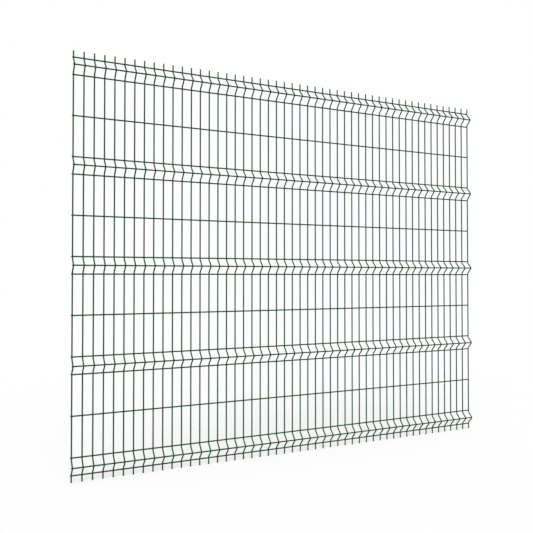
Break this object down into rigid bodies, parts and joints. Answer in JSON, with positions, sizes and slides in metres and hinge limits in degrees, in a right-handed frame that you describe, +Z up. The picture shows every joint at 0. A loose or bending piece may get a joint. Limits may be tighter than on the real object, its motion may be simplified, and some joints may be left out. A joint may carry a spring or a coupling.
{
  "type": "welded mesh fence panel",
  "caption": "Welded wire mesh fence panel with horizontal V folds, free wire ends at head and foot and a moss-green powder coat, for clipping to posts.",
  "frame": {"origin": "on the back of the lowest line wire, where it crosses the left outer upright: the bottom left seat on a post", "axes": "+X along the panel from the left outer upright to the right one, seen from the side that the folds stand out to; +Y from that side through the panel to the posts behind it; +Z up along the uprights"},
  "size_m": [2.51, 0.0407, 2.087],
  "materials": {
    "green_powder_coat": "half-matt moss-green polyester powder coat over galvanised wire"
  },
  "bodies": {
    "root": {"end_upright_left": "green_powder_coat", "end_upright_right": "green_powder_coat", "field_1_wire": "green_powder_coat", "field_2_wire": "green_powder_coat", "field_3_wire": "green_powder_coat", "field_4_wire": "green_powder_coat", "fold_1_lower_wire": "green_powder_coat", "fold_1_upper_wire": "green_powder_coat", "fold_2_apex_wire": "green_powder_coat", "fold_2_lower_wire": "green_powder_coat", "fold_2_upper_wire": "green_powder_coat", "fold_3_lower_wire": "green_powder_coat", "fold_3_upper_wire": "green_powder_coat", "fold_4_apex_wire": "green_powder_coat", "fold_4_lower_wire": "green_powder_coat", "fold_4_upper_wire": "green_powder_coat", "fold_5_lower_wire": "green_powder_coat", "fold_5_upper_wire": "green_powder_coat", "uprights_left": "green_powder_coat", "uprights_middle": "green_powder_coat", "uprights_right": "green_powder_coat"}
  },
  "joints": []
}
